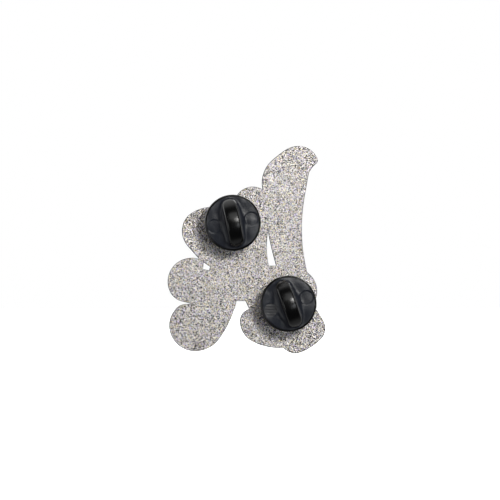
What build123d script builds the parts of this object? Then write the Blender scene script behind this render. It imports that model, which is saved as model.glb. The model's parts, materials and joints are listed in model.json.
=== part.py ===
from build123d import *
import math
import os

os.makedirs("parts", exist_ok=True)

# Frame: +Z up as worn, enamel front towards -Y, posts towards +Y. The origin is midway
# between the two posts, on the flat back of the plate. Outline points are (u, v) as
# seen from the back: u runs to the right, which is -X, and v runs up, which is +Z.
BACK = Plane(origin=(0, 0, 0), x_dir=(-1, 0, 0), z_dir=(0, 1, 0))

# Die-struck plate
PLATE_T = 1.5          # back face to the tops of the raised lines
BORDER_W = 0.55        # raised metal rim round the outline and the pierced holes
LINE_W = 0.42          # raised lines between colours
POCKET_DEPTH = 0.55    # pocket floor below the tops of the lines
ENAMEL_SINK = 0.12     # soft enamel dries this far below the lines
SEAT_R = 2.05          # shallow spot-faced seat under each post
SEAT_DEPTH = 0.10

# Posts: nails soldered to the plate
POST_AT = {"upper": (-5.06, 7.33), "lower": (5.05, -7.33)}
POST_R = 0.55
POST_LENGTH = 8.0      # back face to point
POST_POINT = 1.1       # length of the sharpened end
POST_NOTCH_AT = 6.2    # groove that a clutch snaps into
POST_NOTCH_W = 0.45
POST_NOTCH_DEPTH = 0.12
POST_TIP_R = 0.08      # the point is slightly blunt
HEAD_R = 1.25
HEAD_T = 0.25
SOLDER_R = 1.95
SOLDER_H = 0.65        # where the solder fillet meets the shank
SOLDER_HOLLOW = 0.22   # height of the fillet above the edge of the nail's head

# Rubber clutches
GARMENT_GAP = 2.1      # cloth room between plate and clutch
CLUTCH_R = 5.1
SKIRT_R = 4.55
FLANGE_BOTTOM = 4.0
FACE_EDGE = 5.3        # top face, at the edge
FACE_CROWN = 0.18      # the face swells by this much at its middle
EDGE_ROUND = 0.40
FACE_R = CLUTCH_R - EDGE_ROUND
CAVITY_R = 3.95        # hollow under the clutch
CAVITY_TOP = 4.05
BOSS_R = 2.1
BOSS_START = 2.6
BORE_R = 0.58          # running clearance on the post
BORE_END = 8.35
BORE_LEAD_IN = 0.30
FIN_LENGTH = 8.9
FIN_W = 2.6
FIN_ROOT = 4.5         # the fin's foot is buried in the body
FIN_TOP = 9.3
FIN_END = 5.9          # the arch of the fin ends in a blunt step
FIN_ROUND = 0.45
FIN_LEAN = {"upper": 11.6, "lower": 19.5}  # degrees that the fin leans left, from the back
EJECTOR_MARK_R = 1.2
EJECTOR_MARK_AT = 3.42
EJECTOR_MARK_DEPTH = 0.10


def save(part, name):
    part.label = name
    export_step(part, f"parts/{name}.step")


def lobe(start, through, *stops):
    """One round stretch: an arc by way of through, then tangent arcs from stop to stop."""
    arc = ThreePointArc(start, through, stops[0])
    for stop in stops[1:]:
        arc = TangentArc(arc @ 1, stop, tangent=arc % 1)


# Outline: a curled leaf over a ring of round petals, with a sharp corner where two meet
LEAF_PETAL_CORNER = (0.62, 13.45)
LEAF_BUMP_CORNER = (8.75, -1.65)
BUMP_RIGHT_CORNER = (9.75, -7.6)
RIGHT_LOW_CORNER = (4.38, -15.45)
LOW_NOTCH_CORNER = (-1.82, -8.35)
NOTCH_TOP_RIGHT = (-2.52, -6.9)
NOTCH_TOP_LEFT = (-4.18, -6.9)
LEG_TOP = (-14.55, -7.75)
LEG_LEFT_CORNER = (-11.9, -7.62)
LEFT_UPPER_CORNER = (-10.98, 0.78)
UPPER_TOP_CORNER = (-4.54, 9.9)
LEAF_TIP_TOP = (10.45, 19.45)
LEAF_TIP_UNDER = (10.35, 18.1)

with BuildSketch(BACK) as outline:
    with BuildLine():
        lobe(
            LEAF_PETAL_CORNER, (0.93, 16.85), (2.3, 18.76), (4.75, 20.67), (7.6, 21.38), LEAF_TIP_TOP,
        )
        ThreePointArc(LEAF_TIP_TOP, (10.7, 18.8), LEAF_TIP_UNDER)
        lobe(LEAF_BUMP_CORNER, (7.78, 5.2), (8.2, 11.6), (8.95, 15.9), LEAF_TIP_UNDER)
        lobe(LEAF_BUMP_CORNER, (9.75, -2.65), (10.48, -4.3), BUMP_RIGHT_CORNER)
        lobe(
            BUMP_RIGHT_CORNER, (10.8, -9), (11.8, -10.7), (11.4, -13.7), (7.58, -16.27),
            RIGHT_LOW_CORNER,
        )
        lobe(RIGHT_LOW_CORNER, (0.94, -15.13), (-1.16, -14.35), (-3.54, -10.75), LOW_NOTCH_CORNER)
        Polyline(LOW_NOTCH_CORNER, NOTCH_TOP_RIGHT, NOTCH_TOP_LEFT)
        lobe(NOTCH_TOP_LEFT, (-5.55, -10.87), (-7.3, -13.8), (-12.3, -16), (-16.45, -11.6), LEG_TOP)
        ThreePointArc(LEG_TOP, (-13.2, -7.43), LEG_LEFT_CORNER)
        lobe(
            LEG_LEFT_CORNER, (-13.0, -7.25), (-14.0, -7.0), (-16.3, -5.2),
            (-16.3, -1.5), LEFT_UPPER_CORNER,
        )
        lobe(
            LEFT_UPPER_CORNER, (-12.0, 1.9), (-13.14, 3.23), (-14.12, 5.9), (-12.39, 9.15),
            (-8.0, 10.2), UPPER_TOP_CORNER,
        )
        ThreePointArc(UPPER_TOP_CORNER, (-1.8, 13.93), LEAF_PETAL_CORNER)
    make_face()

# Two holes pierced through the plate: a long sliver beside the leaf, and a small gap
# where two petals meet
SLIVER_TOP = (1.6, 5.8)
SLIVER_FOOT_LEFT = (1.72, -0.45)
SLIVER_FOOT_RIGHT = (3.08, -0.45)
GAP_CORNERS = [(-10.15, 0.14), (-8.98, -0.66), (-9.16, -1.3), (-10.3, -1.06)]

with BuildSketch(BACK) as piercings:
    with BuildLine():
        ThreePointArc(SLIVER_TOP, (1.36, 2.6), SLIVER_FOOT_LEFT)
        Line(SLIVER_FOOT_LEFT, SLIVER_FOOT_RIGHT)
        ThreePointArc(SLIVER_FOOT_RIGHT, (2.2, 2.9), SLIVER_TOP)
    make_face()
    with BuildLine():
        Polyline(*GAP_CORNERS, close=True)
    make_face()

with BuildSketch(BACK) as piercing_rims:
    add(piercings.sketch_local)
    offset(amount=BORDER_W)

# Raised lines of the face, from corner to corner and from the petals to the heart
HEART = (-3.9, 0.7)
HEART_R = 3.2
HEART_EYE_R = 1.55
STUD_RING_R = 2.45     # raised metal dots round the heart
STUD_R = 0.32
STUDS = 8
PETAL_LINES = [
    (LEG_LEFT_CORNER, (-8.7, -5.1), (-6.3, -1.6)),
    (LEFT_UPPER_CORNER, (-9.6, -0.2), (-7.0, 0.4)),
    (UPPER_TOP_CORNER, (-5.2, 6.8), (-4.8, 3.7)),
    (NOTCH_TOP_LEFT, (-4.7, -4.6), (-4.4, -2.4)),
    (LOW_NOTCH_CORNER, (-2.6, -5.2), (-2.9, -2.3)),
    (RIGHT_LOW_CORNER, (2.3, -9.0), (-1.8, -1.7)),
    (BUMP_RIGHT_CORNER, (4.4, -4.6), (-1.0, -0.6)),
    ((1.35, 2.6), (0.3, 2.2), (-0.9, 1.9)),
    (LEAF_PETAL_CORNER, (1.5, 10.0), (1.6, 5.4)),
    ((2.4, -0.5), (5.6, -0.6), LEAF_BUMP_CORNER),
]
MIDRIB = [(5.4, -0.8), (4.9, 4.0), (4.5, 9.0), (4.7, 13.6), (6.3, 17.3), (10.2, 18.8)]
LEAF_VEINS = [
    ((5.15, 1.6), (3.4, 3.6), (1.9, 6.9)),
    ((4.6, 7.6), (2.9, 9.4), (1.2, 12.2)),
    ((4.65, 13.2), (3.0, 15.2), (1.9, 18.3)),
    ((5.05, 2.8), (6.7, 4.8), (7.8, 8.0)),
    ((4.5, 8.8), (6.4, 10.7), (8.2, 13.6)),
    ((5.2, 15.3), (6.9, 15.9), (9.0, 17.6)),
]
# Drop-shaped accents: middle, long radius, short radius, tilt in degrees
ACCENTS = {
    "upper_left": ((-9.9, 6.3), 2.0, 0.95, 35),
    "left": ((-12.9, -2.9), 2.1, 0.95, 10),
    "leg": ((-11.3, -11.6), 2.4, 1.05, 50),
    "low": ((0.0, -11.2), 2.1, 0.95, 110),
    "right": ((7.6, -12.2), 2.2, 1.0, -50),
    "top": ((-2.1, 9.9), 2.0, 0.9, 60),
}

with BuildSketch(BACK.offset(-PLATE_T)) as cells:
    add(outline.sketch_local)
    offset(amount=-BORDER_W, mode=Mode.REPLACE)
    add(piercing_rims.sketch_local, mode=Mode.SUBTRACT)
    for start, middle, end in PETAL_LINES + LEAF_VEINS:
        with BuildLine():
            ThreePointArc(start, middle, end)
        trace(line_width=LINE_W, mode=Mode.SUBTRACT)
    with BuildLine():
        lobe(*MIDRIB)
    trace(line_width=LINE_W, mode=Mode.SUBTRACT)
    with Locations(HEART):
        Circle(HEART_R + LINE_W / 2, mode=Mode.SUBTRACT)
        Circle(HEART_R - LINE_W / 2)
        Circle(HEART_EYE_R + LINE_W / 2, mode=Mode.SUBTRACT)
        Circle(HEART_EYE_R - LINE_W / 2)
        with PolarLocations(STUD_RING_R, STUDS):
            Circle(STUD_R, mode=Mode.SUBTRACT)
    for middle, long_r, short_r, tilt in ACCENTS.values():
        with Locations(middle):
            Ellipse(long_r + LINE_W / 2, short_r + LINE_W / 2, rotation=tilt, mode=Mode.SUBTRACT)
            Ellipse(long_r - LINE_W / 2, short_r - LINE_W / 2, rotation=tilt)

# Plate: one struck blank with pierced holes, colour pockets in front and post seats behind
with BuildPart() as backplate:
    extrude(outline.sketch, amount=-PLATE_T)
    extrude(piercings.sketch, amount=-PLATE_T, mode=Mode.SUBTRACT)
    extrude(cells.sketch, amount=POCKET_DEPTH, mode=Mode.SUBTRACT)
    with BuildSketch(BACK):
        with Locations(*POST_AT.values()):
            Circle(SEAT_R)
    extrude(amount=-SEAT_DEPTH, mode=Mode.SUBTRACT)
save(backplate.part, "backplate")

# Enamel: each pocket holds its own colour, named by a point inside it
BETWEEN_STUDS = math.pi / STUDS
ENAMEL_AT = {
    "enamel_petal_upper_left": (-12.6, 5.0),
    "enamel_petal_left": (-15.4, -3.0),
    "enamel_petal_leg": (-9.0, -8.0),
    "enamel_petal_notch": (-3.5, -5.0),
    "enamel_petal_low": (-1.6, -10.6),
    "enamel_petal_right": (9.6, -11.0),
    "enamel_petal_bump": (8.6, -4.4),
    "enamel_petal_top": (-0.2, 12.4),
    "enamel_leaf_inner_low": (3.6, 1.6),
    "enamel_leaf_inner_mid": (3.2, 7.0),
    "enamel_leaf_inner_high": (3.0, 12.0),
    "enamel_leaf_curl": (5.0, 18.4),
    "enamel_leaf_outer_low": (6.6, 1.6),
    "enamel_leaf_outer_mid": (6.2, 8.0),
    "enamel_leaf_outer_high": (6.6, 13.6),
    "enamel_leaf_tip": (7.7, 17.6),
    "enamel_heart_ring": (
        HEART[0] + STUD_RING_R * math.cos(BETWEEN_STUDS),
        HEART[1] + STUD_RING_R * math.sin(BETWEEN_STUDS),
    ),
    "enamel_heart_eye": HEART,
}
for place, (middle, _, _, _) in ACCENTS.items():
    ENAMEL_AT[f"enamel_accent_{place}"] = middle

for name, (u, v) in ENAMEL_AT.items():
    pocket = cells.sketch.faces().sort_by_distance(Vector(-u, -PLATE_T, v))[0]
    with BuildPart() as enamel:
        extrude(pocket.moved(Location((0, ENAMEL_SINK, 0))), amount=POCKET_DEPTH - ENAMEL_SINK)
    save(enamel.part, name)

for place, (u, v) in POST_AT.items():
    # Half sections through a post are drawn as (radius, height over the plate's back)
    section = Plane(origin=(-u, 0, v), x_dir=(1, 0, 0), z_dir=(0, 0, 1))
    post_axis = Axis((-u, 0, v), (0, 1, 0))

    with BuildPart() as post:
        with BuildSketch(section):
            with BuildLine():
                Polyline(
                    (0, -SEAT_DEPTH),
                    (HEAD_R, -SEAT_DEPTH),
                    (HEAD_R, HEAD_T - SEAT_DEPTH),
                    (POST_R, HEAD_T - SEAT_DEPTH),
                    (POST_R, POST_NOTCH_AT),
                    (POST_R - POST_NOTCH_DEPTH, POST_NOTCH_AT + POST_NOTCH_W / 3),
                    (POST_R - POST_NOTCH_DEPTH, POST_NOTCH_AT + POST_NOTCH_W * 2 / 3),
                    (POST_R, POST_NOTCH_AT + POST_NOTCH_W),
                    (POST_R, POST_LENGTH - POST_POINT),
                    (POST_TIP_R, POST_LENGTH),
                    (0, POST_LENGTH),
                    close=True,
                )
            make_face()
        revolve(axis=post_axis)
    save(post.part, f"post_{place}")

    # Solder climbs the shank in a hollow curve and covers the nail's head
    with BuildPart() as solder:
        with BuildSketch(section):
            with BuildLine():
                Line((POST_R, HEAD_T - SEAT_DEPTH), (HEAD_R, HEAD_T - SEAT_DEPTH))
                Line((HEAD_R, HEAD_T - SEAT_DEPTH), (HEAD_R, -SEAT_DEPTH))
                Line((HEAD_R, -SEAT_DEPTH), (SOLDER_R, -SEAT_DEPTH))
                ThreePointArc((SOLDER_R, -SEAT_DEPTH), (HEAD_R, SOLDER_HOLLOW), (POST_R, SOLDER_H))
                Line((POST_R, SOLDER_H), (POST_R, HEAD_T - SEAT_DEPTH))
            make_face()
        revolve(axis=post_axis)
    save(solder.part, f"solder_{place}")

    # The clutch's own plane lies across the post, with its x along the grip fin
    lean = math.radians(FIN_LEAN[place])
    along_fin = Vector(math.sin(lean), 0, math.cos(lean))
    across = Plane(origin=(-u, 0, v), x_dir=along_fin, z_dir=(0, 1, 0))
    fin_side = Plane(origin=(-u, 0, v), x_dir=along_fin, z_dir=along_fin.cross(Vector(0, 1, 0)))

    with BuildPart() as fin:
        with BuildSketch(across.offset(FIN_ROOT)):
            SlotOverall(FIN_LENGTH, FIN_W)
        extrude(amount=FIN_TOP - FIN_ROOT)
        with BuildSketch(fin_side):
            with BuildLine():
                ThreePointArc((-FIN_LENGTH / 2, FIN_END), (0, FIN_TOP), (FIN_LENGTH / 2, FIN_END))
                Polyline(
                    (FIN_LENGTH / 2, FIN_END), (FIN_LENGTH / 2, FLANGE_BOTTOM),
                    (-FIN_LENGTH / 2, FLANGE_BOTTOM), (-FIN_LENGTH / 2, FIN_END),
                )
            make_face()
        extrude(amount=FIN_W, both=True, mode=Mode.INTERSECT)
        fillet(fin.faces().sort_by(Axis.Y)[-1].edges(), FIN_ROUND)

    with BuildPart() as clutch:
        with BuildSketch(section):
            with BuildLine():
                Polyline(
                    (0, BOSS_START), (BOSS_R, BOSS_START), (BOSS_R, CAVITY_TOP),
                    (CAVITY_R, CAVITY_TOP), (CAVITY_R, GARMENT_GAP), (SKIRT_R, GARMENT_GAP),
                    (SKIRT_R, FLANGE_BOTTOM), (CLUTCH_R, FLANGE_BOTTOM), (CLUTCH_R, FACE_EDGE),
                    (0, FACE_EDGE), close=True,
                )
            rim = make_face()
            fillet(rim.vertices().group_by(Axis.X)[-1], EDGE_ROUND)
            with BuildLine():
                Polyline((0, FACE_EDGE + FACE_CROWN), (0, FACE_EDGE), (FACE_R, FACE_EDGE))
                ThreePointArc(
                    (FACE_R, FACE_EDGE), (FACE_R / 2, FACE_EDGE + FACE_CROWN * 3 / 4),
                    (0, FACE_EDGE + FACE_CROWN),
                )
            make_face()
        revolve(axis=post_axis)
        add(fin.part)
        with BuildSketch(across.offset(FACE_EDGE + FACE_CROWN)):
            with Locations((0, EJECTOR_MARK_AT), (0, -EJECTOR_MARK_AT)):
                Circle(EJECTOR_MARK_R)
        extrude(amount=-2 * EJECTOR_MARK_DEPTH, mode=Mode.SUBTRACT)
        with BuildSketch(section):
            with BuildLine():
                Polyline(
                    (0, BOSS_START), (BORE_R + BORE_LEAD_IN, BOSS_START),
                    (BORE_R, BOSS_START + BORE_LEAD_IN), (BORE_R, BORE_END), (0, BORE_END),
                    close=True,
                )
            make_face()
        revolve(axis=post_axis, mode=Mode.SUBTRACT)
    save(clutch.part, f"clutch_{place}")
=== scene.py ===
import json
import math

import bpy
import numpy as np
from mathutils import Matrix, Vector
from mathutils.geometry import delaunay_2d_cdt


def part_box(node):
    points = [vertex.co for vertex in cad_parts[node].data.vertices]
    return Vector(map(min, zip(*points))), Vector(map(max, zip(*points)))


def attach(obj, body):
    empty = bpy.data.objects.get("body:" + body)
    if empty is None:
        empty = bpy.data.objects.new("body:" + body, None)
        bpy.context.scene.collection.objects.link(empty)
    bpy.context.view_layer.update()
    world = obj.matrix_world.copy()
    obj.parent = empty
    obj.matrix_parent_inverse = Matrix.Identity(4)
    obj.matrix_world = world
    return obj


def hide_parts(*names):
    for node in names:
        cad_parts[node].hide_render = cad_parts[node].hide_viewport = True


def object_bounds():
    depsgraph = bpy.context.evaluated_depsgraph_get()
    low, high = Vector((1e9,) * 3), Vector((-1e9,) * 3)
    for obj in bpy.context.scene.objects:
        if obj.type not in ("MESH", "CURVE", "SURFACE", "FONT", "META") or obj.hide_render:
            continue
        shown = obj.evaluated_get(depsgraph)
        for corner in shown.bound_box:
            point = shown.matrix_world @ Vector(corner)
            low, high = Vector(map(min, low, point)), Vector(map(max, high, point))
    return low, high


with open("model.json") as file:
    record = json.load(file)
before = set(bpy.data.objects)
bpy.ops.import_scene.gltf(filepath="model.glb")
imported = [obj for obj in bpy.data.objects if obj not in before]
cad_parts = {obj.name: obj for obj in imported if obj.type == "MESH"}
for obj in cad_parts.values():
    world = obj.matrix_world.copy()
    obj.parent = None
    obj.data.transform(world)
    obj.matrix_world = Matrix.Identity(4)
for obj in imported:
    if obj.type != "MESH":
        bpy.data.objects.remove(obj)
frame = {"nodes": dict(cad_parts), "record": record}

cad_low, cad_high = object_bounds()

# ---------------------------------------------------------------------------------------------
# Backplate: one blank of steel, struck so that its lines stand up and its colour pockets sink,
# then trimmed with a slightly rolled edge, sand-blasted on the back, polished on the lines, and
# plated in bright nickel.
MM = 0.001
PLATE_T = 1.5
POCKET_DEPTH = 0.55
SEAT_DEPTH = 0.10
BACK_ROLL = 0.12          # radius of the edge that the trimming die rolls over
LINE_ROLL = 0.11          # radius of the polished edges of the lines
EDGE_STEP = 0.13          # length of the small sides along the outline and the pierced holes
POCKET_STEP = 0.16        # and round the pockets and the posts' seats
MAKER_SEED = 8            # for every random draw: dents, ripples and the wander of the beads

# The surfaces are worked out in (u, v, y) millimetres, as the back is seen: u to the right, which
# is -X, v up, which is Z, and y towards the wearer.
SAME_CORNER = 4           # decimals of a millimetre at which repeated corners are one
SHORTEST_SIDE = 0.02
SHARP_TURN = math.cos(math.radians(24))


def flat_rings(node, level, facing):
    """The closed borders of a node's flat face at y = level, as (u, v) rings with the metal on their
    left. facing is 1 where the face looks along +y and -1 along -y.

    Corners that the mesh repeats are merged; an edge whose reverse belongs to no other triangle of
    the face is on its border, and the border edges are chained end to end.
    """
    mesh = frame["nodes"][node].data
    places = np.empty(len(mesh.vertices) * 3)
    mesh.vertices.foreach_get("co", places)
    places = np.round(places.reshape(-1, 3) / MM, SAME_CORNER)
    places, same = np.unique(places, axis=0, return_inverse=True)
    corners = np.empty(len(mesh.loops), dtype=np.int64)
    mesh.loops.foreach_get("vertex_index", corners)
    triangles = same.reshape(-1)[corners].reshape(-1, 3)
    triangles = triangles[np.abs(places[triangles, 1] - level).max(axis=1) < 1e-3]
    edges = triangles[:, [0, 1, 1, 2, 2, 0]].reshape(-1, 2)
    edges = edges[edges[:, 0] != edges[:, 1]]
    forward = edges[:, 0] * len(places) + edges[:, 1]
    backward = edges[:, 1] * len(places) + edges[:, 0]
    after = dict(edges[~np.isin(forward, backward)].tolist())
    rings = []
    while after:
        walk = [next(iter(after))]
        while walk[-1] in after:
            walk.append(after.pop(walk[-1]))
        ring = places[walk[:-1]][:, [0, 2]] * (-1, 1)
        rings.append(ring[::facing])
    return rings


def smooth_ring(ring, step):
    """A ring's sides as cubic curves, cut to about the given step.

    At a gentle bend the curve's direction is the chords' average, each weighted by the other's
    length, which is right for a circle. A side that leaves a sharp corner mirrors its other end.
    """
    ring = ring[np.linalg.norm(np.roll(ring, -1, 0) - ring, axis=1) > SHORTEST_SIDE]
    ahead = np.roll(ring, -1, 0)
    length = np.linalg.norm(ahead - ring, axis=1, keepdims=True)
    way = (ahead - ring) / length
    way_in = np.roll(way, 1, 0)
    bend = way_in * length + way * np.roll(length, 1, 0)
    bend /= np.linalg.norm(bend, axis=1, keepdims=True)
    gentle = (way * way_in).sum(1, keepdims=True) > SHARP_TURN
    bend_on, gentle_on = np.roll(bend, -1, 0), np.roll(gentle, -1, 0)

    def mirrored(direction):
        return 2 * way * (way * direction).sum(1, keepdims=True) - direction

    leave = np.where(gentle, bend, np.where(gentle_on, mirrored(bend_on), way)) * length
    arrive = np.where(gentle_on, bend_on, np.where(gentle, mirrored(bend), way)) * length
    cuts = np.maximum(1, np.round(length[:, 0] / step)).astype(int)
    side = np.repeat(np.arange(len(ring)), cuts)
    t = ((np.arange(len(side)) - np.repeat(np.cumsum(cuts) - cuts, cuts)) / cuts[side])[:, None]
    return (
        ring[side] * (1 - t) ** 2 * (1 + 2 * t) + leave[side] * t * (1 - t) ** 2
        + ahead[side] * t ** 2 * (3 - 2 * t) - arrive[side] * t ** 2 * (1 - t)
    )


POINTS_AT_ONCE = 1500     # keeps the table of points by sides small


def edge_distance(points, rings):
    """How far each point is from the nearest ring, and whether it is inside an odd number of them.

    The nearest place on a side is its start plus t times its length, with t held from 0 to 1; a
    point is inside where a line to its right crosses the rings an odd number of times.
    """
    start = np.concatenate(rings)
    along = np.concatenate([np.roll(ring, -1, 0) - ring for ring in rings])
    square = (along ** 2).sum(1)
    rise = np.where(along[:, 1] == 0, 1, along[:, 1])
    gap, inside = np.empty(len(points)), np.empty(len(points), dtype=bool)
    for block in np.array_split(np.arange(len(points)), len(points) // POINTS_AT_ONCE + 1):
        du = points[block, 0, None] - start[:, 0]
        dv = points[block, 1, None] - start[:, 1]
        t = np.clip((du * along[:, 0] + dv * along[:, 1]) / square, 0, 1)
        gap[block] = np.sqrt(((du - t * along[:, 0]) ** 2 + (dv - t * along[:, 1]) ** 2).min(1))
        level = (dv >= 0) != (dv - along[:, 1] >= 0)
        inside[block] = (level & (du < dv / rise * along[:, 0])).sum(1) % 2 == 1
    return gap, inside


ROW_KEEP = 0.93           # a row's point stays if no edge is nearer than this share of its depth
LOOSE_SHIFT = 0.27        # how far a honeycomb's point moves at random, in pitches
LOOSE_ROOM = 0.45         # how far the honeycomb keeps from the last row, in pitches


def sheet(rings, rows=(), grid=0, random=None):
    """Triangles that fill the room between rings: their points, rows of points at the given
    distances inside them, and a loose honeycomb of the given pitch over what is left.

    The rings' own points come first. Returns the (u, v) points, the triangles and each point's
    distance to the edge.
    """
    fixed = np.concatenate(rings)
    lows, highs = fixed.min(0), fixed.max(0)
    groups = [fixed]
    for depth in rows:
        inner = []
        for ring in rings:
            way = np.roll(ring, -1, 0) - np.roll(ring, 1, 0)
            way /= np.linalg.norm(way, axis=1, keepdims=True)
            inner.append(ring + depth * way[:, ::-1] * (-1, 1))
        inner = np.concatenate(inner)
        gap, inside = edge_distance(inner, rings)
        groups.append(inner[inside & (gap > ROW_KEEP * depth)])
    if grid:
        pitch = grid * math.sqrt(3) / 2
        u, v = np.meshgrid(np.arange(lows[0], highs[0], grid), np.arange(lows[1], highs[1], pitch))
        u[1::2] += grid / 2
        loose = np.stack([u, v], axis=-1).reshape(-1, 2)
        loose += random.uniform(-LOOSE_SHIFT, LOOSE_SHIFT, loose.shape) * grid
        gap, inside = edge_distance(loose, rings)
        groups.append(loose[inside & (gap > max(rows, default=0) + LOOSE_ROOM * grid)])
    flat = np.concatenate(groups)
    faces, start = [], 0
    for ring in rings:
        on = np.roll(ring, -1, 0)
        anticlockwise = (ring[:, 0] * on[:, 1] - ring[:, 1] * on[:, 0]).sum() > 0
        faces.append(list(range(start, start + len(ring)))[::1 if anticlockwise else -1])
        start += len(ring)
    made = delaunay_2d_cdt([Vector(point) for point in flat.tolist()], [], faces, 1, 1e-6)
    _, _, made_triangles, own_points, _, holding_rings = made
    odd = np.array([len(holders) % 2 == 1 for holders in holding_rings])
    source = np.array([olds[0] for olds in own_points])
    triangles = source[np.array(made_triangles)[odd]]
    return flat, triangles, edge_distance(flat, rings)[0]


def rolled(gap, radius):
    """How far a rounded edge lies below the flat: a quarter circle over the distance radius."""
    return radius - np.sqrt(radius ** 2 - (radius - np.minimum(gap, radius)) ** 2)


class Skin:
    """One closed surface, gathered patch by patch in (u, v, y) millimetres.

    Each point has a mark, a number that its material reads to tell where on the piece it is.
    """

    def __init__(self):
        self.points, self.faces, self.marks, self.count = [], [], [], 0

    def patch(self, flat, height, triangles, facing, mark=0.0):
        """Adds a sheet that faces +y (1) or -y (-1). Returns the number of its first point."""
        first = self.count
        height = np.broadcast_to(height, len(flat))
        self.points.append(np.column_stack([flat, height]))
        self.marks.append(np.broadcast_to(mark, len(flat)))
        self.faces.append(triangles[:, ::facing] + first)
        self.count += len(flat)
        return first

    def wall(self, low, high, rings):
        """Adds a band from the rings' points numbered from low up to those numbered from high."""
        for ring in rings:
            here = np.arange(len(ring))
            on = np.roll(here, -1)
            self.faces.append(np.column_stack([low + here, low + on, high + on, high + here]))
            low, high = low + len(ring), high + len(ring)

    def build(self, name, crease):
        """The finished mesh object at the origin, smooth but for edges sharper than crease degrees."""
        u, v, y = np.concatenate(self.points).T * MM
        mesh = bpy.data.meshes.new(name)
        faces = [face for part in self.faces for face in part.tolist()]
        mesh.from_pydata(np.column_stack([-u, y, v]), [], faces)
        mark = mesh.attributes.new("mark", "FLOAT", "POINT")
        mark.data.foreach_set("value", np.concatenate(self.marks).astype(np.float32))
        mesh.shade_smooth()
        mesh.set_sharp_from_angle(angle=math.radians(crease))
        mesh.validate()
        made = bpy.data.objects.new(name, mesh)
        bpy.context.scene.collection.objects.link(made)
        return made


SAME_PLACE = 0.02


def has_twin(ring, others):
    """Whether one of the other rings fills the same box, as the outline and the pierced holes do on
    both faces of the plate."""
    extent = np.concatenate([ring.min(0), ring.max(0)])
    extents = [np.concatenate([other.min(0), other.max(0)]) for other in others]
    return np.abs(extent - extents).max(axis=1).min() < SAME_PLACE


random = np.random.default_rng(MAKER_SEED)
back_rings = flat_rings("backplate", 0, 1)
front_rings = flat_rings("backplate", -PLATE_T, -1)
cut_through = [smooth_ring(ring, EDGE_STEP) for ring in back_rings if has_twin(ring, front_rings)]
seats = [smooth_ring(ring, POCKET_STEP) for ring in back_rings if not has_twin(ring, front_rings)]
pockets = [smooth_ring(ring, POCKET_STEP) for ring in front_rings if not has_twin(ring, back_rings)]
cut_count = sum(len(ring) for ring in cut_through)

# The blasted back is a loose mesh whose points stand up and down at random like the dents that
# the grit leaves. They fade out towards the rolled edge and the seats. The rows of points follow
# each rolled edge.
DENT = 0.019
DENT_FADE = 0.2
DENT_PITCH = 0.165
BACK_ROWS = (0.015, 0.045, 0.085, 0.13, 0.19)
EDGE_REACH = 0.3          # the mark goes from 1 on the trimmed edge to 0 this far in
plate = Skin()
flat, triangles, gap = sheet(cut_through + seats, BACK_ROWS, DENT_PITCH, random)
outer_gap = edge_distance(flat, cut_through)[0]
dents = random.normal(0, DENT, len(flat)) * np.clip(gap / DENT_FADE, 0, 1)
nearness = 1 - np.clip(outer_gap / EDGE_REACH, 0, 1)
back = plate.patch(flat, dents - rolled(outer_gap, BACK_ROLL), triangles, 1, nearness)

# The front's lines, whose edges the polishing wheel has rounded, and the walls of the cut edges
LINE_ROWS = (0.015, 0.045, 0.085, 0.14)
flat, triangles, gap = sheet(cut_through + pockets, LINE_ROWS)
lines = plate.patch(flat, rolled(gap, LINE_ROLL) - PLATE_T, triangles, -1)
plate.wall(lines, back, cut_through)

# The pockets' flat floors and their walls
flat, triangles, gap = sheet(pockets)
floors = plate.patch(flat, POCKET_DEPTH - PLATE_T, triangles, -1)
plate.wall(lines + cut_count, floors, pockets)

# The posts' seats, whose floors are a little rough
SEAT_ROUGH = 0.003
SEAT_ROWS = (0.1, 0.3)
SEAT_PITCH = 0.3
flat, triangles, gap = sheet(seats, SEAT_ROWS, SEAT_PITCH, random)
rough = random.normal(0, SEAT_ROUGH, len(flat)) * (gap > 0)
seat_floors = plate.patch(flat, rough - SEAT_DEPTH, triangles, 1)
plate.wall(seat_floors, back + cut_count, seats)
backplate = plate.build("struck_backplate", 50)


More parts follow.
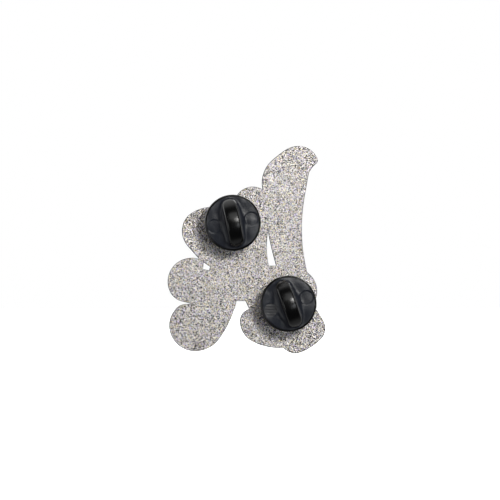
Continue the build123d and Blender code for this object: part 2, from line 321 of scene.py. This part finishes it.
class Wire:
    """An output of a shader node. Arithmetic on it adds Math nodes, and node() adds any other kind."""

    def __init__(self, socket):
        self.socket = socket

    def node(self, kind, settings, sockets, output=0):
        """Adds a node: first its settings, a ramp's stops among them, then its sockets' values or
        the wires that lead to them. Returns one of its outputs."""
        made = self.socket.id_data.nodes.new("ShaderNode" + kind)
        for name, value in settings.items():
            if name == "stops":
                stops = made.color_ramp.elements
                stops.remove(stops[1])
                for number, (position, colour) in enumerate(value):
                    stop = stops[0] if number == 0 else stops.new(position)
                    stop.position, stop.color = position, colour
            else:
                setattr(made, name, value)
        connect(made, sockets)
        return Wire(made.outputs[output])

    def maths(self, operation, *values):
        return self.node("Math", {"operation": operation}, dict(enumerate(values)))

    def __add__(self, other):
        return self.maths("ADD", self, other)

    def __sub__(self, other):
        return self.maths("SUBTRACT", self, other)

    def __rsub__(self, other):
        return self.maths("SUBTRACT", other, self)

    def __mul__(self, other):
        return self.maths("MULTIPLY", self, other)

    __radd__, __rmul__ = __add__, __mul__

    def span(self, low, high):
        """0 up to low, 1 from high on, and a smooth step between them."""
        return self.node("MapRange", {"interpolation_type": "SMOOTHSTEP"}, {0: self, 1: low, 2: high})

    def blend(self, first, second):
        """A colour between two, by this wire."""
        return self.node("Mix", {"data_type": "RGBA"}, {0: self, 6: first, 7: second}, 2)

    def tinted(self, tint):
        """This colour multiplied by another."""
        mixing = {"data_type": "RGBA", "blend_type": "MULTIPLY"}
        return self.node("Mix", mixing, {0: 1.0, 6: self, 7: tint}, 2)

    def axis(self, name):
        """One coordinate of a position wire."""
        return self.node("SeparateXYZ", {}, {0: self}, name)

    def squeezed(self, scale):
        """A position wire with its axes multiplied, which packs a pattern along the larger ones."""
        return self.node("Mapping", {}, {0: self, "Scale": scale})

    def noise(self, size, detail=2.0):
        """Soft noise from 0 to 1, on a position wire, whose swells are about size millimetres."""
        return self.node("TexNoise", {}, {"Vector": self, "Scale": 1 / (size * MM), "Detail": detail})

    def cells(self, size, output="Distance"):
        """Random cells of about size millimetres: the distance to a cell's middle, or its Position."""
        return self.node("TexVoronoi", {}, {"Vector": self, "Scale": 1 / (size * MM)}, output)

    def chance(self, size):
        """A random number from 0 to 1 for each cell of about size millimetres."""
        return self.node("TexWhiteNoise", {}, {"Vector": self.cells(size, "Position")})

    def bump(self, strength, depth):
        """A surface direction, from this wire as a height of up to depth millimetres."""
        return self.node("Bump", {}, {"Height": self, "Strength": strength, "Distance": depth * MM})


def connect(made, sockets):
    """Gives a node's inputs their values, or the wires that lead to them."""
    for name, value in sockets.items():
        if isinstance(value, Wire):
            value.socket.id_data.links.new(value.socket, made.inputs[name])
        else:
            made.inputs[name].default_value = value


def finish_like(name):
    """A new material, its shader, its Object coordinates and its points' marks."""
    material = bpy.data.materials.new(name)
    material.use_nodes = True
    nodes = material.node_tree.nodes
    place = Wire(nodes.new("ShaderNodeTexCoord").outputs["Object"])
    mark = place.node("Attribute", {"attribute_name": "mark"}, {}, "Fac")
    return material, nodes["Principled BSDF"], place, mark


record_colour = {row["slot"]: (*row["base_color"], 1) for row in frame["record"]["materials"]}


def shade(colour, factor):
    """A colour made lighter or darker."""
    return tuple(min(1.0, channel * factor) for channel in colour[:3]) + (1,)


# Each facet of the blasted nickel shows a tint of its own, picked by a random number
GRAIN_HUES = (
    (0.0, (0.74, 0.64, 0.94, 1)), (0.26, (0.97, 0.94, 0.94, 1)), (0.6, (1.0, 0.97, 0.92, 1)),
    (0.8, (1.0, 0.90, 0.58, 1)), (0.9, (1.0, 0.80, 0.74, 1)), (1.0, (0.78, 0.90, 0.98, 1)),
)
# colour of the painted shade round the trimmed edge at the back
EDGE_SHADE = (0.13, 0.13, 0.14, 1)
# the dark and white ends of each grain's painted shade and painted glint
SHADED_GRAIN = (0.035, 0.035, 0.035, 1)
LIT_GRAIN = (1.0, 1.0, 1.0, 1)
BLAST_LOW = -0.13         # the blasting has roughened the edge down to here
BLAST_FULL = -0.04
GRIT_SIZE = 0.18
GRAIN_SIZE = 0.14
TINT_SIZE = 0.17
BUFFING = (6.0, 1.0, 1.0)  # the marks are drawn out along Y and Z


def plate_finish():
    """The grit leaves grains of about a seventh of a millimetre, each with its own slope and tint, and
    with a painted glint or painted shade in its colour. The polished lines on the front keep fine
    buffing marks. A dull, uneven band of painted shade runs round the trimmed edge at the back."""
    material, shader, place, mark = finish_like("nickel_struck")
    nickel = record_colour["plate_nickel"]
    blasted = place.axis("Y").span(BLAST_LOW * MM, BLAST_FULL * MM)
    # painted shade: a dark, uneven band of colour round the trimmed edge at the back, which is also
    # rougher
    shaded_edge = (mark + 0.24 * place.noise(0.5)).span(0.74, 0.90)
    grit = place.noise(GRIT_SIZE)
    grain_glint = place.chance(GRAIN_SIZE)
    tint = place.node("ValToRGB", {"stops": GRAIN_HUES}, {0: place.chance(TINT_SIZE)})
    # painted glints and painted shade: each grain's colour goes from SHADED_GRAIN to LIT_GRAIN by its
    # random number, times its tint
    tinted_glints = tint.tinted(grain_glint.span(0.0, 0.8).blend(SHADED_GRAIN, LIT_GRAIN))
    buffing = place.squeezed(BUFFING).noise(0.5, 3.0)
    polished = buffing.blend(shade(nickel, 0.88), shade(nickel, 1.08))
    connect(shader, {
        "Base Color": shaded_edge.blend(blasted.blend(polished, tinted_glints), EDGE_SHADE),
        "Metallic": 1.0,
        "Roughness": blasted * (0.20 + 0.20 * grain_glint) + (1 - blasted) * (0.16 + 0.12 * buffing) + 0.2 * shaded_edge,
        "Normal": (grit * blasted + 0.04 * buffing).bump(1.0, 0.09),
    })
    return material


backplate.data.materials.append(plate_finish())
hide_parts("backplate")
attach(backplate, "badge")

# ---------------------------------------------------------------------------------------------
# Enamel: coloured resin dropped into the pockets and baked. It dries a little below the lines,
# climbs the metal at its edge in a small meniscus, and keeps a glossy, faintly rippled top.
ENAMEL_FLOOR = POCKET_DEPTH - PLATE_T
ENAMEL_TOP = -1.38
ENAMEL_STEP = 0.17
ENAMEL_ROWS = (0.04, 0.10, 0.19, 0.31)
ENAMEL_PITCH = 0.3
CLIMB = 0.075             # height of the meniscus at the wall
CLIMB_REACH = 0.14        # how far in it has fallen to about a third of that
RIPPLE = 0.0022
THIN_REACH = 0.6          # the mark goes from 0 at the wall to 1 this far in


def enamel_fill(node):
    """A slab whose top climbs at the wall by CLIMB times e to the power -distance / CLIMB_REACH,
    plus a random ripple. Its wall and floor fit the pocket."""
    rings = [smooth_ring(ring, ENAMEL_STEP) for ring in flat_rings(node, ENAMEL_TOP, -1)]
    fill = Skin()
    flat, triangles, gap = sheet(rings, ENAMEL_ROWS, ENAMEL_PITCH, random)
    ripple = random.normal(0, RIPPLE, len(flat)) * np.clip(gap, 0, 1)
    climb = CLIMB * np.exp(-gap / CLIMB_REACH) + ripple
    top = fill.patch(flat, ENAMEL_TOP - climb, triangles, -1, np.clip(gap / THIN_REACH, 0, 1))
    flat, triangles, gap = sheet(rings)
    floor = fill.patch(flat, ENAMEL_FLOOR, triangles, 1)
    fill.wall(top, floor, rings)
    return fill.build(node.replace("enamel", "resin"), 50)


def enamel_finish(slot):
    """The colour is a little darker near the walls and varies in faint clouds; the top is clear gloss."""
    material, shader, place, inward = finish_like(slot.replace("enamel", "resin"))
    colour = record_colour[slot]
    cloud = place.noise(1.6, 3.0)
    speck = place.noise(0.12, 1.0).span(0.62, 0.78)
    body = cloud.span(0.3, 0.7).blend(shade(colour, 0.93), shade(colour, 1.05))
    edged = inward.span(0.0, 0.9).blend(shade(colour, 0.68), body)
    connect(shader, {
        "Base Color": (speck * 0.25).blend(edged, shade(colour, 1.35)),
        "Roughness": 0.16 + 0.10 * cloud,
        "Coat Weight": 0.75,
        "Coat Roughness": 0.06,
        "Normal": (place.noise(0.9, 1.0) + 0.06 * place.noise(0.1, 1.0)).bump(0.35, 0.05),
    })
    return material


enamel_finishes = {}
for subpart in frame["record"]["subparts"]:
    node, slot = subpart["node"], subpart["material_slot"]
    if node.startswith("enamel"):
        if slot not in enamel_finishes:
            enamel_finishes[slot] = enamel_finish(slot)
        fill = enamel_fill(node)
        fill.data.materials.append(enamel_finishes[slot])
        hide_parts(node)
        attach(fill, "badge")

# ---------------------------------------------------------------------------------------------
# Posts: cut steel nails with a flat head, a groove that the clutch snaps into and a ground point.
# They stand in the plate's seats and are plated along with it.
PLACES = ("upper", "lower")
POST_R = 0.55
HEAD_R = 1.25
HEAD_TOP = 0.15
TIP_R = 0.08
POINT_START = 6.9
GROOVE = ((0.55, 6.65), (0.46, 6.53), (0.43, 6.43), (0.46, 6.32), (0.55, 6.2))  # (radius, height)
SHANK_ROWS = (5.0, 3.0)
POST_ROUND = 0.07         # how far the profile's corners are worn round
POST_AROUND = 64


def middle_of(node):
    """The (u, v) of a node's middle, from its box."""
    low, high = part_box(node)
    return np.array([-(low[0] + high[0]) / 2, (low[2] + high[2]) / 2]) / MM


def turned(skin, centre, radius, height, mark=0.0, lean=0.0, closed=False):
    """Adds rows of points round an axis to a skin: point = centre + radius * direction.

    radius and height are (rows, angles) arrays, from the top down the outside. Angles start along
    the part's own length, which leans left from v by lean radians. A row of no radius becomes one
    point, and a closed section joins its last row to its first.
    """
    rows, around = radius.shape
    angle = np.arange(around) * 2 * math.pi / around + math.pi / 2 + lean
    u = centre[0] + radius * np.cos(angle)
    v = centre[1] + radius * np.sin(angle)
    flat = np.column_stack([u.reshape(-1), v.reshape(-1)])
    number = np.arange(rows * around).reshape(rows, around)
    pole = radius.max(axis=1) == 0
    number[pole] = number[pole][:, :1]
    below = np.roll(number, -1, 0) if closed else number[1:]
    above = number if closed else number[:-1]
    quads = np.stack([above, below, np.roll(below, -1, 1), np.roll(above, -1, 1)], axis=-1)
    quads = quads.reshape(-1, 4)
    marks = np.broadcast_to(mark, radius.shape).reshape(-1)
    from_pole = quads[:, 0] == quads[:, 3]
    to_pole = quads[:, 1] == quads[:, 2]
    triangles = np.concatenate([quads[from_pole][:, [0, 1, 2]], quads[to_pole][:, [0, 1, 3]]])
    used, packed = np.unique(number, return_inverse=True)
    renumber = np.zeros(rows * around, dtype=int)
    renumber[number.reshape(-1)] = packed.reshape(-1)
    skin.patch(flat[used], height.reshape(-1)[used], renumber[triangles], 1, marks[used])
    skin.faces.append(renumber[quads[~from_pole & ~to_pole]])


ROUND_SHARE = 0.45        # the most of a side that a rounded corner takes


def rounded(corners, radius, cuts):
    """A profile with each inner corner turned into a parabola that starts and ends radius from it,
    or less on a short side."""
    corners = np.array(corners, dtype=float)
    middle = corners[1:-1]
    to_last, to_next = corners[:-2] - middle, corners[2:] - middle
    last, following = np.linalg.norm(to_last, axis=1), np.linalg.norm(to_next, axis=1)
    reach = np.minimum(radius, np.minimum(last, following) * ROUND_SHARE)[:, None]
    start = middle + to_last / last[:, None] * reach
    end = middle + to_next / following[:, None] * reach
    t = np.linspace(0, 1, cuts)[:, None, None]
    arcs = start * (1 - t) ** 2 + middle * 2 * t * (1 - t) + end * t ** 2
    return np.concatenate([corners[:1], arcs.transpose(1, 0, 2).reshape(-1, 2), corners[-1:]])


def post_nail(place, centre):
    """The nail's (radius, height) profile, from its point down to its head, carried round its axis."""
    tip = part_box(f"post_{place}")[1][1] / MM
    profile = rounded([
        (0, tip), (TIP_R, tip), (POST_R, POINT_START), *GROOVE, *[(POST_R, y) for y in SHANK_ROWS],
        (POST_R, HEAD_TOP), (HEAD_R, HEAD_TOP), (HEAD_R, -SEAT_DEPTH), (0, -SEAT_DEPTH),
    ], POST_ROUND, 4)
    nail = Skin()
    ones = np.ones(POST_AROUND)
    turned(nail, centre, profile[:, :1] * ones, profile[:, 1:] * ones)
    return nail.build(f"nail_{place}", 40)


def post_finish():
    """Drawn steel under nickel: faint rings round the shank and soft patches of wear."""
    material, shader, place, _ = finish_like("nickel_drawn")
    steel = record_colour["post_steel"]
    rings = place.squeezed((1.0, 9.0, 1.0)).noise(0.9, 3.0)
    wear = place.noise(0.7)
    connect(shader, {
        "Base Color": wear.blend(shade(steel, 0.82), shade(steel, 1.08)),
        "Metallic": 1.0,
        "Roughness": 0.16 + 0.22 * rings,
        "Normal": rings.bump(0.5, 0.02),
    })
    return material


nickel_drawn = post_finish()
for place in PLACES:
    nail = post_nail(place, middle_of(f"post_{place}"))
    nail.data.materials.append(nickel_drawn)
    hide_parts(f"post_{place}")
    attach(nail, "badge")

# ---------------------------------------------------------------------------------------------
# Solder: a bead of tin that holds each nail in its seat. It wets the shank and the plate in one
# hollow curve over the nail's head, with a slightly uneven foot.
BEAD_R = 1.95
BEAD_TOP = 0.65
BEAD_ROWS = 18
BEAD_AROUND = 96
BEAD_FOOT_R = BEAD_R - 0.05
FOOT_WANDER = 0.045       # how far the foot strays in and out of a circle of radius BEAD_FOOT_R
FOOT_THICK = 0.02
UNDER_R = BEAD_R - 0.12   # the bead's flat underside starts here
HOLLOW = 0.72             # the share of the bead's height that falls in a hollow curve
WETTED = 0.01             # the bead overlaps the nail by this much, so no gap shows


def solder_bead(place, centre):
    """A ring-shaped skin, out being 0 at the shank and 1 at the foot: its height falls as a blend
    of (1 - out) squared and 1 - out. Its foot wanders in and out by three waves round the post."""
    around = np.arange(BEAD_AROUND) * 2 * math.pi / BEAD_AROUND
    phase = random.uniform(0, 2 * math.pi, 3)
    wander = sum(np.cos(around * (n + 2) + phase[n]) / (n + 2) for n in range(3))
    out = np.linspace(0, 1, BEAD_ROWS)[:, None]
    foot = BEAD_FOOT_R + FOOT_WANDER * wander
    radius = POST_R - WETTED + out * (foot - POST_R)
    hollow = (1 - out) ** 2 * (1 + 0.06 * wander * out)
    fall = HOLLOW * hollow + (1 - HOLLOW) * (1 - out)
    bottom = FOOT_THICK - SEAT_DEPTH
    height = bottom + (BEAD_TOP - WETTED - bottom) * fall
    under = np.array([
        (UNDER_R, -SEAT_DEPTH), (HEAD_R + WETTED, -SEAT_DEPTH),
        (HEAD_R + WETTED, HEAD_TOP + WETTED), (POST_R - WETTED, HEAD_TOP + WETTED),
    ])
    ones = np.ones(BEAD_AROUND)
    bead = Skin()
    turned(
        bead, centre, np.concatenate([radius, under[:, :1] * ones]),
        np.concatenate([height, under[:, 1:] * ones]), closed=True,
    )
    return bead.build(f"solder_bead_{place}", 55)


def solder_finish():
    """Dull tin with soft flow marks and a few pits."""
    material, shader, place, _ = finish_like("tin_flowed")
    tin = record_colour["solder_tin"]
    flow = place.noise(0.8, 3.0)
    pits = place.cells(0.35).span(0.0, 0.16)
    connect(shader, {
        "Base Color": flow.blend(shade(tin, 0.72), shade(tin, 1.12)),
        "Metallic": 0.9,
        "Roughness": 0.30 + 0.25 * flow,
        "Normal": (flow + 0.4 * pits).bump(0.6, 0.05),
    })
    return material


tin_flowed = solder_finish()
for place in PLACES:
    bead = solder_bead(place, middle_of(f"post_{place}"))
    bead.data.materials.append(tin_flowed)
    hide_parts(f"solder_{place}")
    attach(bead, "badge")

# ---------------------------------------------------------------------------------------------
# Clutches: caps of soft black PVC, moulded in one piece with an arched grip fin, and pushed on to
# the posts. Two ejector pins leave round marks beside the fin; underneath, a hollow with a bored
# boss grips the post.
CLUTCH_R = 5.1
EDGE_ROUND = 0.40
FACE_R = CLUTCH_R - EDGE_ROUND
FACE_EDGE = 5.3
FACE_CROWN = 0.18
RIM_LOW = 4.8             # where the rim's straight side starts
UNDERSIDE = [             # (radius, height) under the rim, round the skirt and boss, up the bore
    (CLUTCH_R, 4.0), (4.55, 4.0), (4.55, 2.1), (3.95, 2.1), (3.95, 4.05), (2.1, 4.05), (2.1, 2.6),
    (0.88, 2.6), (0.58, 2.9), (0.58, 8.35), (0, 8.35),
]
UNDER_ROUND = 0.14
FIN_HALF_LENGTH = 4.45
FIN_HALF_WIDTH = 1.3
FIN_ROUND = 0.45
FIN_CROWN = 0.06          # the fin's top is a little higher along its middle
FIN_END = 5.9
FIN_TOP = 9.3
FIN_LEAN = {"upper": math.radians(11.6), "lower": math.radians(19.5)}
ARCH_R = (FIN_HALF_LENGTH ** 2 + (FIN_TOP - FIN_END) ** 2) / (2 * (FIN_TOP - FIN_END))
FOOT_RISE = 0.55          # height of the hollow fillet where the fin grows out of the face
FOOT_SPREAD = 1.35        # how far that fillet runs out over the face beside the fin
FOOT_SHARE = 0.7          # the most of the room up to the rim that it takes, past the fin's ends
FOOT_HOLLOW = 2.2         # the fillet falls as this power of the way still to go
AROUND = 320
TOP_ROWS, TURN_ROWS, WALL_ROWS, FOOT_ROWS, FACE_ROWS = 14, 8, 9, 12, 37


def pill(half_length, half_width, along, across):
    """How far a pill shape reaches from its middle in each direction: its straight side where the
    ray meets that, else its round end."""
    straight = half_length - half_width
    side = half_width / np.maximum(across, 1e-9)
    end = straight * along + np.sqrt(np.maximum(half_width ** 2 - (straight * across) ** 2, 0))
    return np.where(side * along <= straight, side, end)


MARK_R = 1.2              # an ejector mark, and how far it is from the cap's middle
MARK_AT = 3.42
MARK_SINK = 0.085
MARK_STEP = 0.12          # width of the soft step at its edge
GROOVE_SINK = 0.03        # the fine groove round it
GROOVE_WIDTH = 0.09
SCORED_RISE = 0.03        # a scored mark's turning lines: their level, depth, pitch and slant
SCORED_DEPTH = 0.014
SCORED_PITCH = 0.5
SCORED_SLANT = 0.34


def face_height(radius, angle, scored):
    """A low dome less a smooth step down at each ejector mark and a bell-shaped groove round it.

    scored is the side, 1 or -1, of the mark that keeps its pin's turning lines, a sine across the
    mark, or 0 where neither does.
    """
    along, across = radius * np.cos(angle), radius * np.sin(angle)
    height = FACE_EDGE + FACE_CROWN * (1 - (radius / FACE_R) ** 2)
    for side in (1, -1):
        from_mark = np.hypot(along, across - side * MARK_AT)
        step = np.clip((MARK_R + 0.05 - from_mark) / MARK_STEP, 0, 1)
        step = step * step * (3 - 2 * step)
        groove = np.exp(-((from_mark - MARK_R - 0.02) / GROOVE_WIDTH) ** 2)
        height = height - step * MARK_SINK - GROOVE_SINK * groove
        if side == scored:
            slanted = along * math.cos(SCORED_SLANT) - across * math.sin(SCORED_SLANT)
            lines = np.sin(slanted * 2 * math.pi / SCORED_PITCH)
            height = height + step * (SCORED_RISE + SCORED_DEPTH * lines)
    return height


def shares(rows):
    """A column of equal steps from just over 0 to 1, one for each row."""
    return np.linspace(0, 1, rows + 1)[1:, None]


def clutch_cap(place, centre, scored):
    """Rows of closed curves, from the fin's top outwards, down and round to the end of the bore.

    Every row is a reach for each direction. The fin's rows are pill shapes under an arch, which is
    a circle of radius ARCH_R along the fin. The foot's rows spread from the fin over the face in a
    hollow fillet, and the face's rows pass evenly on to the round rim; the rest is the cap's
    profile turned round its axis. The mark is 0 on the face, -1 on a scored disc and 1 elsewhere.
    """
    angle = np.arange(AROUND) * 2 * math.pi / AROUND
    along, across = np.abs(np.cos(angle)), np.abs(np.sin(angle))

    def arch(reach):
        return FIN_TOP - ARCH_R + np.sqrt(ARCH_R ** 2 - np.minimum(reach * along, FIN_HALF_LENGTH) ** 2)

    flat_half_width = FIN_HALF_WIDTH - FIN_ROUND
    inner = pill(FIN_HALF_LENGTH - FIN_ROUND, flat_half_width, along, across)
    top = np.linspace(0, 1, TOP_ROWS + 1)[:-1, None] * inner
    top_crown = FIN_CROWN * (top * across / flat_half_width) ** 2
    turn = np.linspace(0, math.pi / 2, TURN_ROWS + 1)
    inset = FIN_ROUND * (1 - np.sin(turn))
    edge = np.array([pill(FIN_HALF_LENGTH - e, FIN_HALF_WIDTH - e, along, across) for e in inset])
    edge_crown = FIN_CROWN * np.minimum(inner * across / flat_half_width, 1) ** 2
    edge_height = arch(edge) - edge_crown - (FIN_ROUND * (1 - np.cos(turn)))[:, None]

    outside, wall_top = edge[-1], edge_height[-1]
    foot_bottom = face_height(outside, angle, scored)
    spread = np.minimum(FOOT_SPREAD, FOOT_SHARE * (FACE_R - outside))
    rise = np.minimum(FOOT_RISE * spread / FOOT_SPREAD, 0.5 * (wall_top - foot_bottom))
    down = shares(WALL_ROWS)
    wall = outside * np.ones_like(down)
    wall_height = wall_top + (foot_bottom + rise - wall_top) * down

    out = shares(FOOT_ROWS)
    foot = outside + spread * out
    foot_height = face_height(foot, angle, scored) + rise * (1 - out) ** FOOT_HOLLOW
    face = foot[-1] + (FACE_R - foot[-1]) * shares(FACE_ROWS)

    rim_r = FACE_R + EDGE_ROUND * np.sin(turn[1:])
    rim_y = FACE_EDGE - EDGE_ROUND * (1 - np.cos(turn[1:]))
    below = rounded([(CLUTCH_R, RIM_LOW), *UNDERSIDE], UNDER_ROUND, 5)
    profile = np.concatenate([np.column_stack([rim_r, rim_y]), below])
    ones = np.ones(AROUND)

    reach = np.concatenate([top, edge, wall, foot, face, profile[:, :1] * ones])
    height = np.concatenate([
        arch(top) - top_crown, edge_height, wall_height, foot_height,
        face_height(face, angle, scored), profile[:, 1:] * ones,
    ])
    first = len(top) + len(edge) + len(wall)
    mark = np.ones(reach.shape)
    mark[first:first + len(foot) + len(face)] = 0
    if scored:
        disc = np.hypot(reach * np.cos(angle), reach * np.sin(angle) - scored * MARK_AT) < MARK_R
        mark[disc & (mark == 0)] = -1
    cap = Skin()
    turned(cap, centre, reach, height, mark, FIN_LEAN[place])
    return cap.build(f"rubber_clutch_{place}", 60)


FACE_BLACK = (0.013, 0.016, 0.025, 1)
# colour of the painted highlight on the scored ejector mark
MARK_HIGHLIGHT = (0.070, 0.071, 0.076, 1)


def rubber_finish():
    """Black PVC: the face is satin from the mould's etched steel, a little wavy as soft mouldings
    are, and its colour carries painted sheen in lighter patches. The fin and rim, from polished
    steel, are glossy, and their colour is darker as painted shade. The scored ejector mark has a
    painted highlight that makes its colour a little grey."""
    material, shader, place, mark = finish_like("rubber_moulded")
    glossy_and_shaded = mark.span(0.0, 1.0)
    # painted highlight: the scored ejector mark's colour is a little grey
    lit_mark = (0 - mark).span(0.0, 1.0)
    black = record_colour["clutch_rubber"]
    grain = place.noise(0.16, 3.0)
    wave = place.noise(3.0, 1.0)
    ripple = place.noise(1.7, 1.0)
    # painted sheen: the face's colour is lighter in soft patches where the wave is high
    face_sheen = wave.blend(FACE_BLACK, shade(FACE_BLACK, 1.5))
    face_relief = 0.06 * grain * (1 - 0.8 * glossy_and_shaded) + 1.5 * wave * (1 - glossy_and_shaded)
    connect(shader, {
        # painted shade: the fin and rim take a tenth of the rubber's colour, darker than the face
        "Base Color": glossy_and_shaded.blend(lit_mark.blend(face_sheen, MARK_HIGHLIGHT), shade(black, 0.1)),
        "Roughness": glossy_and_shaded * (0.20 + 0.08 * wave) + (1 - glossy_and_shaded) * (0.27 + 0.10 * grain),
        "Normal": (face_relief + 0.12 * ripple * glossy_and_shaded).bump(1.0, 0.3),
    })
    return material


SCORED_SIDE = {"upper": 0, "lower": 1}
rubber_moulded = rubber_finish()
for place in PLACES:
    cap = clutch_cap(place, middle_of(f"clutch_{place}"), SCORED_SIDE[place])
    cap.data.materials.append(rubber_moulded)
    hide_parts(f"clutch_{place}")
    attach(cap, f"{place}_clutch")

# ---------------------------------------------------------------------------------------------
# Studio: a white bench just under the standing pin, a white room, softboxes above and below the
# camera for the back, one at each side, and two for the enamelled front. The bench is only seen:
# it casts no shadow and no light, so that the low lamps reach the pin through it.
BENCH_HALF = 0.45
BENCH_GAP = 0.02
bench_top = cad_low[2] - BENCH_GAP * MM
bench_corners = [
    (x * BENCH_HALF, y * BENCH_HALF, bench_top) for x, y in ((-1, -1), (1, -1), (1, 1), (-1, 1))
]
bench_mesh = bpy.data.meshes.new("bench")
bench_mesh.from_pydata(bench_corners, [], [(0, 1, 2, 3)])
bench = bpy.data.objects.new("bench", bench_mesh)
bpy.context.scene.collection.objects.link(bench)
bench.visible_glossy = bench.visible_diffuse = bench.visible_shadow = False
bench_paint, bench_shader, _, _ = finish_like("bench_white")
connect(bench_shader, {
    "Base Color": (0.9, 0.9, 0.9, 1), "Roughness": 0.9, "Specular IOR Level": 0.0,
    "Emission Color": (1, 1, 1, 1), "Emission Strength": 0.93,
})
bench_mesh.materials.append(bench_paint)

AIM = Vector((0.001715, 0, 0.00241))    # the middle of the view, in metres


def look_from(thing, place):
    """Puts a lamp or camera at a place and turns it towards AIM."""
    thing.location = place
    thing.rotation_euler = (AIM - thing.location).to_track_quat("-Z", "Y").to_euler()
    bpy.context.scene.collection.objects.link(thing)


def softbox(name, place, size, watts, colour=(1, 1, 1)):
    """A square lamp that the camera doesn't see, with its place and size in metres."""
    lamp = bpy.data.lights.new(name, "AREA")
    lamp.shape = "SQUARE"
    lamp.size = size
    lamp.energy = watts
    lamp.color = colour
    box = bpy.data.objects.new(name, lamp)
    box.visible_camera = False
    look_from(box, Vector(place))


softbox("softbox_key", (-0.095, 0.34, 0.10), 0.07, 0.35, (1.0, 0.99, 0.97))
softbox("softbox_overhead", (-0.01, 0.20, 0.12), 0.13, 0.06)
softbox("softbox_low_right", (-0.13, 0.33, -0.05), 0.10, 0.09, (0.93, 0.97, 1.0))
softbox("softbox_low_left", (0.24, 0.24, -0.09), 0.20, 0.14, (0.97, 0.98, 1.0))
for side, x in (("left", 0.30), ("right", -0.30)):
    softbox(f"softbox_side_{side}", (x, -0.07, 0.03), 0.22, 0.10)
softbox("softbox_front_key", (-0.12, -0.25, 0.16), 0.14, 0.24)
softbox("softbox_front_fill", (0.20, -0.20, 0.06), 0.14, 0.08)

# The room looks white. As light it is bright on the enamelled side, more so upwards, and nearly dark
# on the side of the back, where the lamps shape the metal and the rubber.
world = bpy.data.worlds.new("white_room")
bpy.context.scene.world = world
world.use_nodes = True
nodes = world.node_tree.nodes
seen_room = nodes["Background"]
connect(seen_room, {"Color": (1, 1, 1, 1)})
direction = Wire(nodes.new("ShaderNodeTexCoord").outputs["Generated"])
behind_pin = direction.axis("Y").span(-0.10, 0.30)
upwards = direction.axis("Z").span(-0.6, 0.6)
glow = (1 - behind_pin) * (0.28 + 0.62 * upwards) + 0.035 * behind_pin
lit_room = direction.node("Background", {}, {"Color": (1, 1, 1, 1), "Strength": glow})
is_seen = direction.node("LightPath", {}, {}, "Is Camera Ray")
room = is_seen.node("MixShader", {}, {0: is_seen, 1: lit_room, 2: Wire(seen_room.outputs[0])})
connect(nodes["World Output"], {"Surface": room})
bpy.context.scene.view_settings.view_transform = "Standard"

# The camera looks at the back, from a very little to the left of square
CAMERA_DISTANCE = 0.6
CAMERA_TURN = math.radians(2.5)
camera_data = bpy.data.cameras.new("camera")
camera_data.sensor_width = 36
camera_data.lens = 236.7
camera = bpy.data.objects.new("camera", camera_data)
look_from(camera, AIM + CAMERA_DISTANCE * Vector((math.sin(CAMERA_TURN), math.cos(CAMERA_TURN), 0)))
bpy.context.scene.camera = camera
